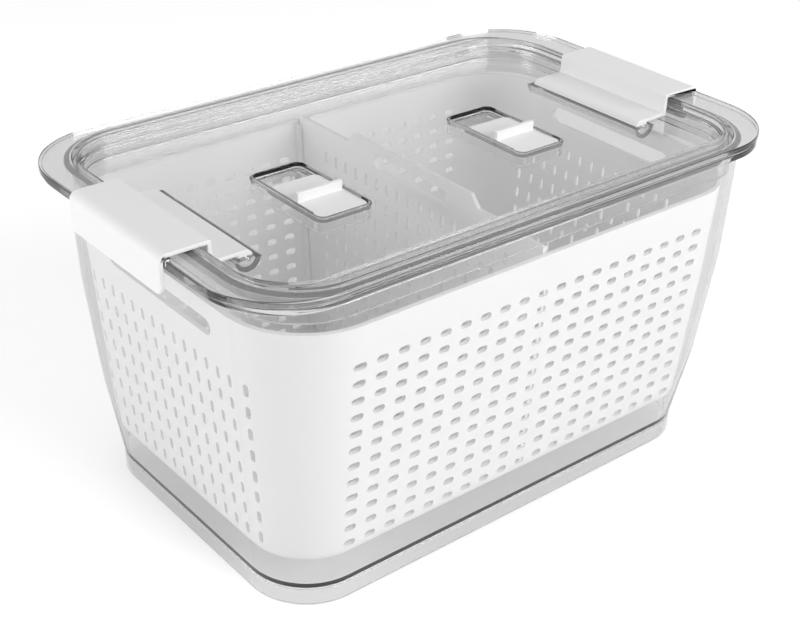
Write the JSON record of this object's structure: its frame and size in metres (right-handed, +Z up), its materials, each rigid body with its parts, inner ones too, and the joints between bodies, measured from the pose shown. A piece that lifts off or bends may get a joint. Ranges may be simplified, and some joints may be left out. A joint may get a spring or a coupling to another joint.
{
  "type": "produce keeper",
  "caption": "Clear kitchen keeper for fresh produce, with a lift-out white strainer basket, a divider, end latches and sliding vents in its lid.",
  "frame": {"origin": "middle of the foot ring's base, on the surface that the keeper stands on", "axes": "+X along the long side towards the right latch, +Y across towards the back, +Z up"},
  "size_m": [0.3008, 0.1882, 0.1618],
  "materials": {
    "clear_tub": "clear moulded plastic, polished",
    "clear_lid": "clear moulded plastic, polished",
    "white_basket": "white moulded plastic, fine satin",
    "white_divider": "white moulded plastic, fine satin",
    "white_latch": "white moulded plastic, fine satin",
    "white_slider": "white moulded plastic, fine satin"
  },
  "bodies": {
    "container": {"tub": "clear_tub", "basket": "white_basket", "divider": "white_divider", "lid": "clear_lid"},
    "left_latch_body": {"left_latch": "white_latch"},
    "right_latch_body": {"right_latch": "white_latch"},
    "left_slider_body": {"left_vent_slider": "white_slider"},
    "right_slider_body": {"right_vent_slider": "white_slider"}
  },
  "joints": [
    {"name": "left_latch_swing", "type": "hinge", "parent": "container", "child": "left_latch_body", "pos_m": [-0.1125, 0, 0.1486], "axis": [0, 1, 0], "range_deg": [0, 95]},
    {"name": "right_latch_swing", "type": "hinge", "parent": "container", "child": "right_latch_body", "pos_m": [0.1125, 0, 0.1486], "axis": [0, -1, 0], "range_deg": [0, 95]},
    {"name": "left_vent_slide", "type": "slide", "parent": "container", "child": "left_slider_body", "axis": [0, 1, 0], "range_m": [0, 0.0132]},
    {"name": "right_vent_slide", "type": "slide", "parent": "container", "child": "right_slider_body", "axis": [0, 1, 0], "range_m": [0, 0.0132]}
  ]
}
